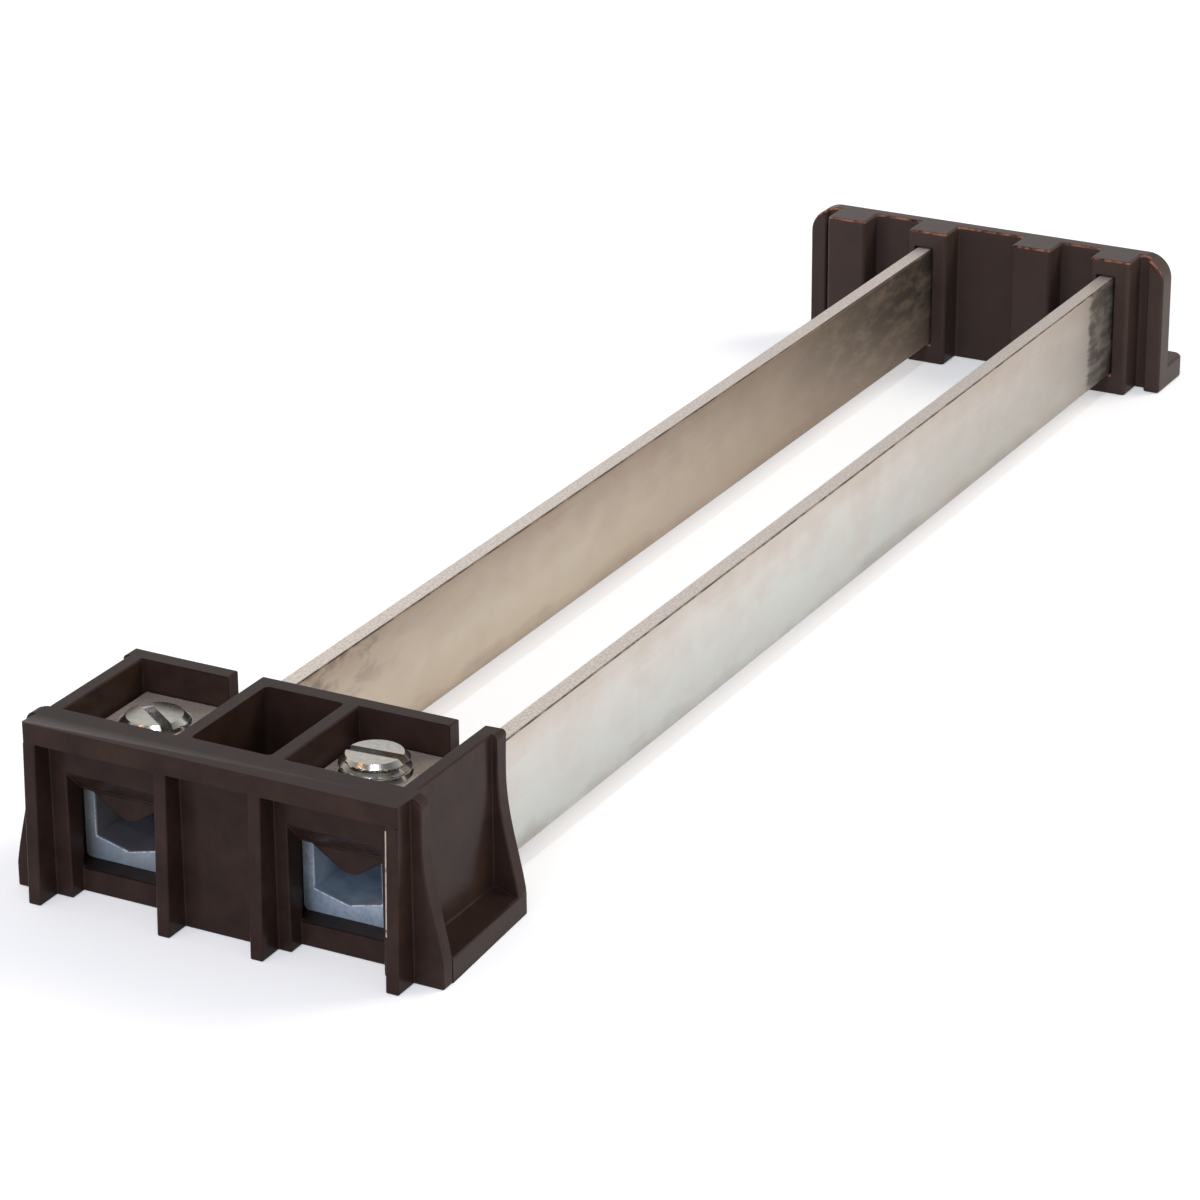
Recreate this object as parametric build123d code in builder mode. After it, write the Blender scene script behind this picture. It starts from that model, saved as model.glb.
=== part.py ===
from build123d import *
import os

os.makedirs("parts", exist_ok=True)

# Two flat bars on edge run from a moulded clamp housing at the front to a moulded support at the rear.
# Millimetres, X to the right, Y to the rear, Z up. The origin is on the floor, at the middle of the outline.

# Bars
bar_height = 18.0
bar_thickness = 3.0
bar_length = 250.0
bar_edge_radius = 0.4
bar_side_gap = 0.8

# Clamp housing: three cells in a row, open at the top
housing_height = 27.0
cell_width = 18.2
cell_depth = 19.0
centre_cell_width = 12.6
cell_floor = 3.6
outer_wall = 2.3
middle_wall = 2.2
back_wall = 2.7
slot_clearance = 0.2
cell_corner_radius = 0.8

# Front of the housing: a ledge over ribs, with the wall and the cable windows set back behind them
ledge_depth = 6.3
ledge_height = 3.0
ledge_lip = 0.4
rib_width = 2.0
rib_flare = 0.8
wall_setback = 3.3
jamb_width = 1.9
jamb_depth = 3.2
sill_setback = 6.0
window_height = 11.5
lintel_thickness = 1.9
lintel_slope = 3.9
tongue_drop = 3.4
tongue_tip = 2.0
tongue_tip_radius = 2.5
tongue_margin = 3.0
window_overlap = 0.01

# Flanges at both ends of the housing's sides, widening towards the foot, and the base between them
flange_thickness = 2.5
flange_reach_top = 2.0
flange_reach_foot = 4.9
rear_flange_inset = 1.1
flange_straight = 6.0
flange_foot_lean = 0.15
flange_corner_radius = 1.5
rear_flange_corner_radius = 0.7
base_edge = 3.5
base_cove = 1.0

# Clamp cages
cage_gap = 0.3
cage_rear_gap = 0.3
cage_depth = 15.7
cage_below_rim = 4.7
cage_leg = 1.8
cage_top = 3.4
cage_floor = 3.4
groove_depth = 1.3
cage_corner_radius = 0.8
cage_inner_radius = 0.6

# Clamp screws, headless and slotted
thread_diameter = 10.0
thread_clearance = 0.05
screw_length = 11.5
screw_chamfer = 1.0
point_chamfer = 1.4
slot_width = 1.6
slot_depth = 2.0
left_screw_rise = 1.1
right_screw_rise = 2.8
left_slot_angle = -35
right_slot_angle = 4

# Rear support: a web with four posts, rims at both ends and a foot behind
cap_height = 3.3
web_thickness = 2.8
post_width = 7.5
post_depth = 8.2
post_shift = 0.75
post_edge_radius = 0.7
bar_seat = 5.0
support_reach = 4.9
left_end_extra = 1.0
support_corner_radius = 4.4
rim_width = 3.0
rim_depth = 4.4
foot_depth = 7.8
foot_height = 4.0
foot_corner_radius = 2.0

# Places across the housing
middle_wall_inner = centre_cell_width / 2
cell_inner = middle_wall_inner + middle_wall
cell_outer = cell_inner + cell_width
body_half = cell_outer + outer_wall
cell_centre = (cell_inner + cell_outer) / 2
cell_pitch = 2 * cell_centre
ledge_half = body_half + ledge_lip
foot_half = body_half + flange_reach_foot

# Places across one clamp, for the right cell; the left clamp is one cell pitch to the left
bar_face = cell_outer - bar_side_gap - bar_thickness
bar_centre = bar_face + bar_thickness / 2
cage_width = bar_face - cell_inner - cage_gap
cage_centre = bar_face - cage_width / 2
sides = {"left": -cell_pitch, "right": 0.0}

# The support reaches further to the left, so that the outline's middle is half of that off the housing's middle
to_outline_middle = Location((left_end_extra / 2, 0, 0))

# Places along the part, measured from the ledge's front and moved so that the outline is centred
cage_front_run = ledge_depth + cell_depth - cage_rear_gap - cage_depth
post_front_run = cage_front_run + bar_length - bar_seat
overall_run = post_front_run + post_depth + foot_depth
ledge_front = (rib_flare - overall_run) / 2
wall_front = ledge_front + wall_setback
cell_front = ledge_front + ledge_depth
cell_back = cell_front + cell_depth
housing_back = cell_back + back_wall
cage_front = ledge_front + cage_front_run
cage_middle = cage_front + cage_depth / 2
lintel_back = cage_front - cage_rear_gap
lintel_front = lintel_back - lintel_thickness
sill_front = ledge_front + sill_setback
post_front = ledge_front + post_front_run
support_back = post_front + post_depth
bar_back = cage_front + bar_length

# Heights
ledge_bottom = housing_height - ledge_height
cage_height = housing_height - cage_below_rim - cell_floor
cage_rim = cell_floor + cage_height
window_top = cell_floor + window_height
support_height = cell_floor + bar_height + cap_height

# Cuts run this far past the face they start from
past = 1.0

# Terminal housing
with BuildPart() as terminal_housing:
    with BuildSketch(Plane.XY):
        with Locations((0, (wall_front + housing_back) / 2)):
            Rectangle(2 * body_half, housing_back - wall_front)
    extrude(amount=housing_height)

    # Ledge across the front
    with BuildSketch(Plane.XY.offset(ledge_bottom)):
        with Locations((0, (ledge_front + cell_front) / 2)):
            Rectangle(2 * ledge_half, ledge_depth)
        fillet(vertices().group_by(Axis.Y)[0], ledge_lip)
    extrude(amount=ledge_height)

    # Ribs under the ledge, in line with the cell walls, leaning forward to the foot
    rib_places = [middle_wall_inner + middle_wall / 2, ledge_half - rib_width / 2]
    for place in [side * x for x in rib_places for side in (-1, 1)]:
        with BuildSketch(Plane.YZ.offset(place)):
            with BuildLine():
                Polyline(
                    (ledge_front, ledge_bottom),
                    (ledge_front - rib_flare, 0),
                    (wall_front + past, 0),
                    (wall_front + past, ledge_bottom),
                    close=True,
                )
            make_face()
        extrude(amount=rib_width / 2, both=True)

    # Flanges at the front and the rear of both sides, bell-shaped
    flanges = [
        (wall_front, 0, flange_corner_radius),
        (housing_back - flange_thickness, rear_flange_inset, rear_flange_corner_radius),
    ]
    for flange_front, inset, corner_radius in flanges:
        with BuildSketch(Plane.XZ.offset(-flange_front)) as flange:
            with BuildLine():
                flange_edge = body_half + flange_reach_top - inset
                edge_top = (flange_edge, housing_height)
                edge_bend = (flange_edge, housing_height - flange_straight)
                edge_foot = (foot_half - inset, base_edge)
                Polyline((0, 0), (0, housing_height), edge_top, edge_bend)
                Spline(edge_bend, edge_foot, tangents=((0, -1), (flange_foot_lean, -1)))
                Polyline(edge_foot, (foot_half - inset, 0), (0, 0))
            make_face()
            fillet(flange.vertices().sort_by_distance(edge_top)[0], corner_radius)
            mirror(about=Plane.YZ)
        extrude(amount=-flange_thickness)

    # Base along both sides, with a slight slope up to the wall, drawing in to the rear
    for base_end, inset in ((wall_front, 0), (housing_back, rear_flange_inset)):
        with BuildSketch(Plane.XZ.offset(-base_end)):
            with BuildLine():
                Polyline(
                    (-foot_half + inset, 0),
                    (foot_half - inset, 0),
                    (foot_half - inset, base_edge),
                    (body_half, base_edge + base_cove),
                    (-body_half, base_edge + base_cove),
                    (-foot_half + inset, base_edge),
                    close=True,
                )
            make_face()
    loft(ruled=True)

    # Centre cell
    with BuildSketch(Plane.XY.offset(cell_floor)):
        with Locations((0, (cell_front + cell_back) / 2)):
            RectangleRounded(centre_cell_width, cell_depth, cell_corner_radius)
    extrude(amount=housing_height, mode=Mode.SUBTRACT)

    for side in (-1, 1):
        # Outer cell: its front wall steps back behind the window
        with BuildSketch(Plane.YZ.offset(side * cell_centre)):
            step = lintel_back - cell_front
            with BuildLine():
                Polyline(
                    (cell_front, housing_height + past),
                    (cell_front, cage_rim),
                    (lintel_back, cage_rim - step),
                    (lintel_back, cell_floor),
                    (cell_back, cell_floor),
                    (cell_back, housing_height + past),
                    close=True,
                )
            make_face()
        extrude(amount=cell_width / 2, both=True, mode=Mode.SUBTRACT)

        # Bay in front of the window, with a sloping head and a sill at its foot
        with BuildSketch(Plane.YZ.offset(side * cell_centre)):
            bay_back = wall_front + jamb_depth
            slope_rise = lintel_slope * jamb_depth / (lintel_front - wall_front)
            with BuildLine():
                Polyline(
                    (wall_front - past, window_top + lintel_slope),
                    (wall_front, window_top + lintel_slope),
                    (bay_back, window_top + lintel_slope - slope_rise),
                    (bay_back, cell_floor),
                    (sill_front, cell_floor),
                    (sill_front, -past),
                    (wall_front - past, -past),
                    close=True,
                )
            make_face()
        extrude(amount=cell_width / 2 - jamb_width, both=True, mode=Mode.SUBTRACT)

        # Window behind the jambs, as wide as the cell
        with BuildSketch(Plane.YZ.offset(side * cell_centre)):
            with BuildLine():
                Polyline(
                    (bay_back - window_overlap, window_top + lintel_slope - slope_rise),
                    (lintel_front, window_top),
                    (lintel_back + window_overlap, window_top),
                    (lintel_back + window_overlap, cell_floor),
                    (bay_back - window_overlap, cell_floor),
                    close=True,
                )
            make_face()
        extrude(amount=cell_width / 2, both=True, mode=Mode.SUBTRACT)

        # Tongue with a round tip, hanging from the lintel over the cable entry
        with BuildSketch(Plane.XZ.offset(-lintel_front)) as tongue:
            tongue_half = cell_width / 2 - tongue_margin
            with BuildLine():
                Polyline(
                    (side * cell_centre - tongue_half, window_top),
                    (side * cell_centre - tongue_tip / 2, window_top - tongue_drop),
                    (side * cell_centre + tongue_tip / 2, window_top - tongue_drop),
                    (side * cell_centre + tongue_half, window_top),
                    close=True,
                )
            make_face()
            fillet(tongue.vertices().group_by(Axis.Y)[0], tongue_tip_radius)
        extrude(amount=-lintel_thickness)

    # Slots in the back wall, open at the top, beside the right wall of each outer cell
    slot_left = bar_face - slot_clearance
    for shift in sides.values():
        with BuildSketch(Plane.XY.offset(cell_floor)):
            with Locations(((slot_left + cell_outer) / 2 + shift, cell_back + back_wall / 2)):
                Rectangle(cell_outer - slot_left, back_wall + past)
        extrude(amount=housing_height, mode=Mode.SUBTRACT)

placed = terminal_housing.part.moved(to_outline_middle)
placed.label = "terminal_housing"
export_step(placed, "parts/terminal_housing.step")

# Bars, standing on edge on the cell floor, each against the right leg of its cage
for name, shift in sides.items():
    with BuildPart() as bus_bar:
        with BuildSketch(Plane.XZ.offset(-cage_front)):
            with Locations((bar_centre + shift, cell_floor + bar_height / 2)):
                RectangleRounded(bar_thickness, bar_height, bar_edge_radius)
        extrude(amount=-bar_length)
    placed = bus_bar.part.moved(to_outline_middle)
    placed.label = f"bus_bar_{name}"
    export_step(placed, f"parts/bus_bar_{name}.step")

# Clamp cages: a box open at the front and rear, with a V groove in its floor and a tapped hole in its top
for name, shift in sides.items():
    with BuildPart() as clamp_cage:
        centre = cage_centre + shift
        with BuildSketch(Plane.XZ.offset(-cage_front)):
            with Locations((centre, cell_floor + cage_height / 2)):
                RectangleRounded(cage_width, cage_height, cage_corner_radius)
            with BuildSketch(mode=Mode.SUBTRACT) as opening:
                with BuildLine():
                    inner_half = cage_width / 2 - cage_leg
                    floor_edge = cell_floor + cage_floor
                    Polyline(
                        (centre - inner_half, floor_edge),
                        (centre - inner_half, cage_rim - cage_top),
                        (centre + inner_half, cage_rim - cage_top),
                        (centre + inner_half, floor_edge),
                        (centre, floor_edge - groove_depth),
                        close=True,
                    )
                make_face()
                fillet(opening.vertices().group_by(Axis.Y)[-1], cage_inner_radius)
        extrude(amount=-cage_depth)
        with BuildSketch(Plane.XY.offset(floor_edge)):
            with Locations((centre, cage_middle)):
                Circle(thread_diameter / 2 + thread_clearance)
        extrude(amount=cage_height, mode=Mode.SUBTRACT)
    placed = clamp_cage.part.moved(to_outline_middle)
    placed.label = f"clamp_cage_{name}"
    export_step(placed, f"parts/clamp_cage_{name}.step")

# Clamp screws, run in to different heights, with their slots at different angles
screws = {
    "left": (left_screw_rise, left_slot_angle),
    "right": (right_screw_rise, right_slot_angle),
}
for name, (rise, angle) in screws.items():
    with BuildPart() as clamp_screw:
        axis_x = cage_centre + sides[name]
        top = cage_rim + rise
        radius = thread_diameter / 2
        with BuildSketch(Plane.XY.offset(top - screw_length)):
            with Locations((axis_x, cage_middle)):
                Circle(radius)
        extrude(amount=screw_length)
        chamfer(clamp_screw.faces().sort_by(Axis.Z)[-1].edges(), screw_chamfer)
        chamfer(clamp_screw.faces().sort_by(Axis.Z)[0].edges(), point_chamfer)
        with BuildSketch(Plane.XY.offset(top - slot_depth)):
            with Locations((axis_x, cage_middle)):
                Rectangle(thread_diameter + past, slot_width, rotation=angle)
        extrude(amount=slot_depth + past, mode=Mode.SUBTRACT)
    placed = clamp_screw.part.moved(to_outline_middle)
    placed.label = f"clamp_screw_{name}"
    export_step(placed, f"parts/clamp_screw_{name}.step")

# Rear support
support_half = body_half + support_reach
support_width = 2 * support_half + left_end_extra
support_middle = -left_end_extra / 2
with BuildPart() as rear_support:
    # Web with rounded top corners
    with BuildSketch(Plane.XZ.offset(-(support_back - web_thickness))) as outline:
        with Locations((support_middle, support_height / 2)):
            Rectangle(support_width, support_height)
        fillet(outline.vertices().group_by(Axis.Y)[-1], support_corner_radius)
    extrude(amount=-web_thickness)

    # Rims at both ends, cut from the same outline
    with BuildSketch(Plane.XZ.offset(-(support_back - rim_depth))) as rims:
        with Locations((support_middle, support_height / 2)):
            Rectangle(support_width, support_height)
        fillet(rims.vertices().group_by(Axis.Y)[-1], support_corner_radius)
        with Locations((support_middle, support_height / 2)):
            Rectangle(support_width - 2 * rim_width, support_height, mode=Mode.SUBTRACT)
    extrude(amount=-rim_depth)

    # Posts: the left bar stands in the second one and the right bar in the fourth
    outer_post = bar_centre + post_shift
    inner_post = cell_pitch - bar_centre - post_shift
    for place in (-outer_post - left_end_extra, -inner_post, inner_post, outer_post):
        with BuildSketch(Plane.XY) as post:
            with Locations((place, (post_front + support_back) / 2)):
                Rectangle(post_width, post_depth)
            fillet(post.vertices().group_by(Axis.Y)[0], post_edge_radius)
        extrude(amount=support_height)

    # Foot behind the web
    with BuildSketch(Plane.XY) as foot:
        with Locations((support_middle, support_back + (foot_depth - web_thickness) / 2)):
            Rectangle(support_width, foot_depth + web_thickness)
        fillet(foot.vertices().group_by(Axis.Y)[-1], foot_corner_radius)
    extrude(amount=foot_height)

    # Seats for the bars
    for shift in sides.values():
        with BuildSketch(Plane.XY.offset(cell_floor)):
            with Locations((bar_centre + shift, post_front + bar_seat / 2 + slot_clearance / 2 - past / 2)):
                Rectangle(bar_thickness + 2 * slot_clearance, bar_seat + slot_clearance + past)
        extrude(amount=bar_height + slot_clearance, mode=Mode.SUBTRACT)

placed = rear_support.part.moved(to_outline_middle)
placed.label = "rear_support"
export_step(placed, "parts/rear_support.step")
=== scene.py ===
import math

import bmesh
import bpy
from mathutils import Matrix, Vector
from mathutils.bvhtree import BVHTree


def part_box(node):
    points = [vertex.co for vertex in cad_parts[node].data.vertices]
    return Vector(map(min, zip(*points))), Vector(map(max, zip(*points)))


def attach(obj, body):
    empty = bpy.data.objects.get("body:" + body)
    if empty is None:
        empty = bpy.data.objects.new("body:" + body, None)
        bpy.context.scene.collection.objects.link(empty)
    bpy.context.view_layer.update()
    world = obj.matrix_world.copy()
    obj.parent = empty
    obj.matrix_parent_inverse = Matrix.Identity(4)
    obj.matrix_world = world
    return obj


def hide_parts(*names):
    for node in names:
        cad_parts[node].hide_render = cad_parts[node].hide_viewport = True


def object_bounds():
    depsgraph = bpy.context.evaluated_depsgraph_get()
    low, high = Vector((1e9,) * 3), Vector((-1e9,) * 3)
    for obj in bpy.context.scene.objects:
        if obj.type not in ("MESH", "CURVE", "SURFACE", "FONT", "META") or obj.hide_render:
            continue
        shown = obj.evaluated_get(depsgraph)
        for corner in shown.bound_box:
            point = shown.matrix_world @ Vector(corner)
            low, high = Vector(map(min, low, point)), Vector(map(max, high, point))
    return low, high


# Bus bar assembly: two flat bars on edge, held by a moulded clamp housing in front and a moulded support
# behind. Metres, X to the right, Y to the rear, Z up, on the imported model's frame.
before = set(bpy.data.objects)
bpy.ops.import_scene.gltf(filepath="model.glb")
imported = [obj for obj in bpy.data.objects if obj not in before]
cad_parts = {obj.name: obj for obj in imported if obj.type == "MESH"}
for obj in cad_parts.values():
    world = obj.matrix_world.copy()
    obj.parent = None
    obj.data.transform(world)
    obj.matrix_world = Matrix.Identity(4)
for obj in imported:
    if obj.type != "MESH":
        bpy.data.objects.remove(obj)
cad_low, cad_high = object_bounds()
scene = bpy.context.scene


# Camera
# It looks down on the clamp housing from the front right, 28 degrees round and 23 degrees up, through a long
# lens that keeps the bars nearly parallel. Its focal length was found in a frame 1200 pixels wide.
camera_place = Vector((0.29598, -0.57358, 0.27251))
camera_azimuth = math.radians(28.28)
camera_elevation = math.radians(22.9)
camera_roll = math.radians(-0.4)
focal_pixels = 4403.11
frame_pixels = 1200
sensor_width = 36
nearest_seen = 0.05
furthest_seen = 20

camera_data = bpy.data.cameras.new("camera")
camera_data.sensor_width = sensor_width
camera_data.lens = focal_pixels / frame_pixels * sensor_width
camera_data.clip_start = nearest_seen
camera_data.clip_end = furthest_seen
camera = bpy.data.objects.new("camera", camera_data)
scene.collection.objects.link(camera)
scene.camera = camera
level = math.cos(camera_elevation)
backward = Vector(
    (math.sin(camera_azimuth) * level, -math.cos(camera_azimuth) * level, math.sin(camera_elevation))
)
rightward = Vector((math.cos(camera_azimuth), math.sin(camera_azimuth), 0))
upward = backward.cross(rightward)
across = rightward * math.cos(camera_roll) + upward * math.sin(camera_roll)
aloft = upward * math.cos(camera_roll) - rightward * math.sin(camera_roll)
turn = Matrix((across, aloft, backward)).transposed()
camera.matrix_world = Matrix.Translation(camera_place) @ turn.to_4x4()


# Floor and surroundings
# A white table top in a white room. The table keeps the object's soft shadow, and shows nearly white to the
# camera and a little lighter than it is in the metal.
def linear(code):
    """A hex colour as it is seen, turned to the linear values that shaders take."""
    seen = [int(code[i : i + 2], 16) / 255 for i in (1, 3, 5)]
    return (*[c / 12.92 if c <= 0.04045 else ((c + 0.055) / 1.055) ** 2.4 for c in seen], 1.0)


def add(tree, kind, inputs=None, **settings):
    """One node with its settings. An input takes a value, or the output socket that feeds it."""
    made = tree.nodes.new(kind)
    for name, value in settings.items():
        setattr(made, name, value)
    for key, value in (inputs or {}).items():
        if isinstance(value, bpy.types.NodeSocket):
            tree.links.new(value, made.inputs[key])
        else:
            made.inputs[key].default_value = value
    return made


scene.view_settings.view_transform = "Standard"

floor_size = 5.0
floor_colour = "#EDEDED"
floor_glow = 0.35
glow_in_metal = 0.16

# White laminate, matt all over. A weak glow towards the camera lifts it to the white of a studio sweep.
floor_paint = bpy.data.materials.new("white_table_top")
floor_paint.use_nodes = True
tree = floor_paint.node_tree
tree.nodes.clear()
path = add(tree, "ShaderNodeLightPath")
mirrored = add(
    tree,
    "ShaderNodeMath",
    {0: path.outputs["Is Glossy Ray"], 1: path.outputs["Is Transmission Ray"]},
    operation="MAXIMUM",
)
straight = add(
    tree, "ShaderNodeMath", {0: path.outputs["Is Camera Ray"], 1: floor_glow}, operation="MULTIPLY"
)
glow = add(
    tree,
    "ShaderNodeMath",
    {0: mirrored.outputs[0], 1: glow_in_metal, 2: straight.outputs[0]},
    operation="MULTIPLY_ADD",
)
matt = add(tree, "ShaderNodeBsdfDiffuse", {"Color": linear(floor_colour)})
lift = add(tree, "ShaderNodeEmission", {"Color": linear("#FFFFFF"), "Strength": glow.outputs[0]})
both = add(tree, "ShaderNodeAddShader", {0: matt.outputs[0], 1: lift.outputs[0]})
add(tree, "ShaderNodeOutputMaterial", {"Surface": both.outputs[0]})

floor_mesh = bpy.data.meshes.new("floor")
half = floor_size / 2
floor_mesh.from_pydata(
    [(-half, -half, 0), (half, -half, 0), (half, half, 0), (-half, half, 0)], [], [(0, 1, 2, 3)]
)
floor_mesh.materials.append(floor_paint)
floor = bpy.data.objects.new("floor", floor_mesh)
scene.collection.objects.link(floor)

# The room is white to the camera. In the metal it grows darker overhead, which gives the screws their
# contrast, and it lights the object with a plain bluish white.
room_light = 0.5
darker_from = 0.25
darkest_from = 0.8
darkest_overhead = 0.14
room = bpy.data.worlds.new("white_room")
room.use_nodes = True
scene.world = room
tree = room.node_tree
tree.nodes.clear()
path = add(tree, "ShaderNodeLightPath")
lighting = add(tree, "ShaderNodeBackground", {"Color": linear("#F2F5FA"), "Strength": room_light})
facing = add(tree, "ShaderNodeTexCoord")
rise = add(tree, "ShaderNodeSeparateXYZ", {0: facing.outputs["Generated"]})
fade = add(
    tree,
    "ShaderNodeMapRange",
    {
        "Value": rise.outputs["Z"],
        "From Min": darker_from,
        "From Max": darkest_from,
        "To Min": 1.0,
        "To Max": darkest_overhead,
    },
)
white_behind = add(
    tree, "ShaderNodeMath", {0: path.outputs["Is Camera Ray"], 1: fade.outputs[0]}, operation="MAXIMUM"
)
showing = add(tree, "ShaderNodeBackground", {"Color": linear("#FFFFFF"), "Strength": white_behind.outputs[0]})
seen_here = add(
    tree,
    "ShaderNodeMath",
    {0: path.outputs["Is Camera Ray"], 1: path.outputs["Is Glossy Ray"]},
    operation="MAXIMUM",
)
seen = add(
    tree,
    "ShaderNodeMath",
    {0: seen_here.outputs[0], 1: path.outputs["Is Transmission Ray"]},
    operation="MAXIMUM",
)
mixed = add(tree, "ShaderNodeMixShader", {0: seen.outputs[0], 1: lighting.outputs[0], 2: showing.outputs[0]})
add(tree, "ShaderNodeOutputWorld", {"Surface": mixed.outputs[0]})


# Studio lamps
# A small lamp over the camera, a soft one behind on the right, a wide bluish fill in front and a small warm
# lamp on the left, which draws thin lines of light along the edges. The one behind stays out of reflections,
# so that each screw has one bright glint. Each row gives place, aim, side, power and tint.
lamps = {
    "over_camera": ((0.22, -0.50, 1.15), (0.0, -0.1, 0.01), 0.16, 3.2, "#F4F6FF"),
    "back_right": ((0.62, 0.62, 0.85), (0.0, -0.02, 0.01), 0.55, 5.5, "#FFF4E4"),
    "warm_left": ((-0.62, -1.0, 1.2), (0.0, 0.0, 0.01), 0.2, 1.6, "#FFC79E"),
    "front_fill": ((0.05, -2.3, 0.8), (0.0, 0.0, 0.01), 1.4, 17.0, "#C4DAFF"),
}
for name, (place, aim, size, power, tint) in lamps.items():
    lamp_data = bpy.data.lights.new(name, "AREA")
    lamp_data.shape = "SQUARE"
    lamp_data.size = size
    lamp_data.energy = power
    lamp_data.color = linear(tint)[:3]
    lamp = bpy.data.objects.new(name, lamp_data)
    scene.collection.objects.link(lamp)
    lamp.location = place
    lamp.rotation_euler = (Vector(aim) - Vector(place)).to_track_quat("-Z", "Y").to_euler()
    lamp.visible_glossy = name != "back_right"


# Terminal housing and rear support
# The housing holds a clamp in each outer cell, behind a cable window, and the support seats the far ends of the
# bars. Each is pressed in one piece from brown thermoset in a polished tool, with edges just soft enough to
# catch a line of light. Only the bars join them, through slots in the housing's back wall.
housing_edge = 0.00025
support_edge = 0.00045
edge_steps = 3
sharp_angle = math.radians(28)
flat_angle = math.radians(0.5)
same_point = 2e-6
housing_shortest = 0.00012
support_shortest = 0.00005
furthest_stray = 0.6


def softened(node_name, name, radius, shortest_edge, finish, body):
    """A CAD node's shape with its sharp edges rounded, standing for the node.

    The rounded faces get a second material slot while the normals are worked out: flat faces keep their own,
    and a rounding turns from one flat face to the next, so that wide faces aren't shaded as if bent.
    """
    source = bmesh.new()
    source.from_mesh(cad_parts[node_name].data)
    bmesh.ops.remove_doubles(source, verts=source.verts, dist=same_point)
    bmesh.ops.dissolve_limit(source, angle_limit=flat_angle, verts=source.verts, edges=source.edges)
    # Only edges that turn sharply are rounded, and not the shortest, where a rounding would tangle.
    weight = source.edges.layers.float.new("bevel_weight_edge")
    for edge in source.edges:
        sharp = len(edge.link_faces) == 2 and edge.calc_face_angle(0) > sharp_angle
        edge[weight] = 1.0 if sharp and edge.calc_length() > shortest_edge else 0.0
    surface = BVHTree.FromBMesh(source)
    for face in source.faces:
        face.smooth = True
    mesh = bpy.data.meshes.new(name)
    source.to_mesh(mesh)
    source.free()
    for _ in ("flat", "rounded"):
        mesh.materials.append(finish)
    rough = bpy.data.objects.new(name + "_rough", mesh)
    scene.collection.objects.link(rough)
    bevel = rough.modifiers.new("edge", "BEVEL")
    bevel.width = radius
    bevel.segments = edge_steps
    bevel.material = 1
    bevel.limit_method = "WEIGHT"
    bevel.use_clamp_overlap = False
    graph = bpy.context.evaluated_depsgraph_get()
    shape = bpy.data.meshes.new_from_object(
        rough.evaluated_get(graph), preserve_all_data_layers=True, depsgraph=graph
    )
    bpy.data.objects.remove(rough)
    # A point that the rounding threw off the surface goes back to it, and none leaves the node's box.
    low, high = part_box(node_name)
    for vertex in shape.vertices:
        nearest, _, _, distance = surface.find_nearest(vertex.co)
        place = nearest if distance > furthest_stray * radius else vertex.co
        vertex.co = [min(max(place[i], low[i]), high[i]) for i in range(3)]
    shape.update()
    # Each corner's normal is worked out from the flat faces round it, or from the rounded ones where none
    # is flat.
    around = {vertex.index: ([], []) for vertex in shape.vertices}
    for face in shape.polygons:
        for corner in face.vertices:
            around[corner][face.material_index].append(face)
    turned = []
    for face in shape.polygons:
        for corner in face.vertices:
            flat_faces, round_faces = around[corner]
            lead = face
            if face.material_index == 1 and flat_faces:
                lead = max(flat_faces, key=lambda other: other.normal.dot(face.normal))
            level_with = flat_faces if flat_faces else round_faces
            bend = sharp_angle if flat_faces else 2 * sharp_angle
            total = Vector()
            for other in level_with:
                if other.normal.dot(lead.normal) > math.cos(bend):
                    total += other.normal * other.area
            turned.append(total.normalized() if total.length > 0 else lead.normal.copy())
    for face in shape.polygons:
        face.material_index = 0
        face.use_smooth = True
    shape.materials.pop(index=1)
    shape.normals_split_custom_set(turned)
    piece = bpy.data.objects.new(name, shape)
    scene.collection.objects.link(piece)
    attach(piece, body)
    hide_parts(node_name)


# Brown thermoset moulding: nearly black, semi-matt, with soft clouds some 5 mm across. Faces that look up and
# the upper front roundings get painted shade. The support is painted lighter, as painted light, and its
# upper front edge carries a painted reddish highlight line. The front edge of the rib beside the right window
# carries a painted pale highlight. The real grain is under 0.1 mm and wouldn't show, so it is drawn about 0.4 mm
# coarse.
moulding_clouds = 180.0
moulding_grain = 2600.0
highlight_specks = 900.0
rear_painted_light = 0.55
# Where the painted pale highlight lies on the rib beside the right window.
highlit_rib_edge = 0.028
highlight_half_width = 0.00022
highlight_depth = 0.002
highlight_middle = 0.0158
highlight_reach = 0.0076
highlight_turn, highlight_turn_reach = -0.65, 0.4
facing_up = 0.95
upper_turn, upper_turn_reach = 0.6, 0.32
front_turn, front_turn_reach = -0.6, 0.35
upward_shade = 0.5
moulding = bpy.data.materials.new("brown_thermoset_moulding")
moulding.use_nodes = True
tree = moulding.node_tree
tree.nodes.clear()
where = add(tree, "ShaderNodeTexCoord")
cloud = add(
    tree,
    "ShaderNodeTexNoise",
    {"Vector": where.outputs["Object"], "Scale": moulding_clouds, "Detail": 4.0, "Roughness": 0.6},
)
tone = add(tree, "ShaderNodeValToRGB", {"Fac": cloud.outputs["Fac"]})
tone.color_ramp.elements[0].position = 0.3
tone.color_ramp.elements[0].color = linear("#32241F")
tone.color_ramp.elements[1].position = 0.72
tone.color_ramp.elements[1].color = linear("#413029")
spot = add(tree, "ShaderNodeSeparateXYZ", {0: where.outputs["Object"]}).outputs
# The support is painted lighter, standing in for the stronger light on it.
at_rear = add(tree, "ShaderNodeMath", {0: spot["Y"], 1: 0.0}, operation="GREATER_THAN")
rear_lift = add(tree, "ShaderNodeMath", {0: at_rear.outputs[0], 1: rear_painted_light}, operation="MULTIPLY")
shade = add(
    tree,
    "ShaderNodeMix",
    {0: rear_lift.outputs[0], 6: tone.outputs["Color"], 7: linear("#54463F")},
    data_type="RGBA",
)
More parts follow.
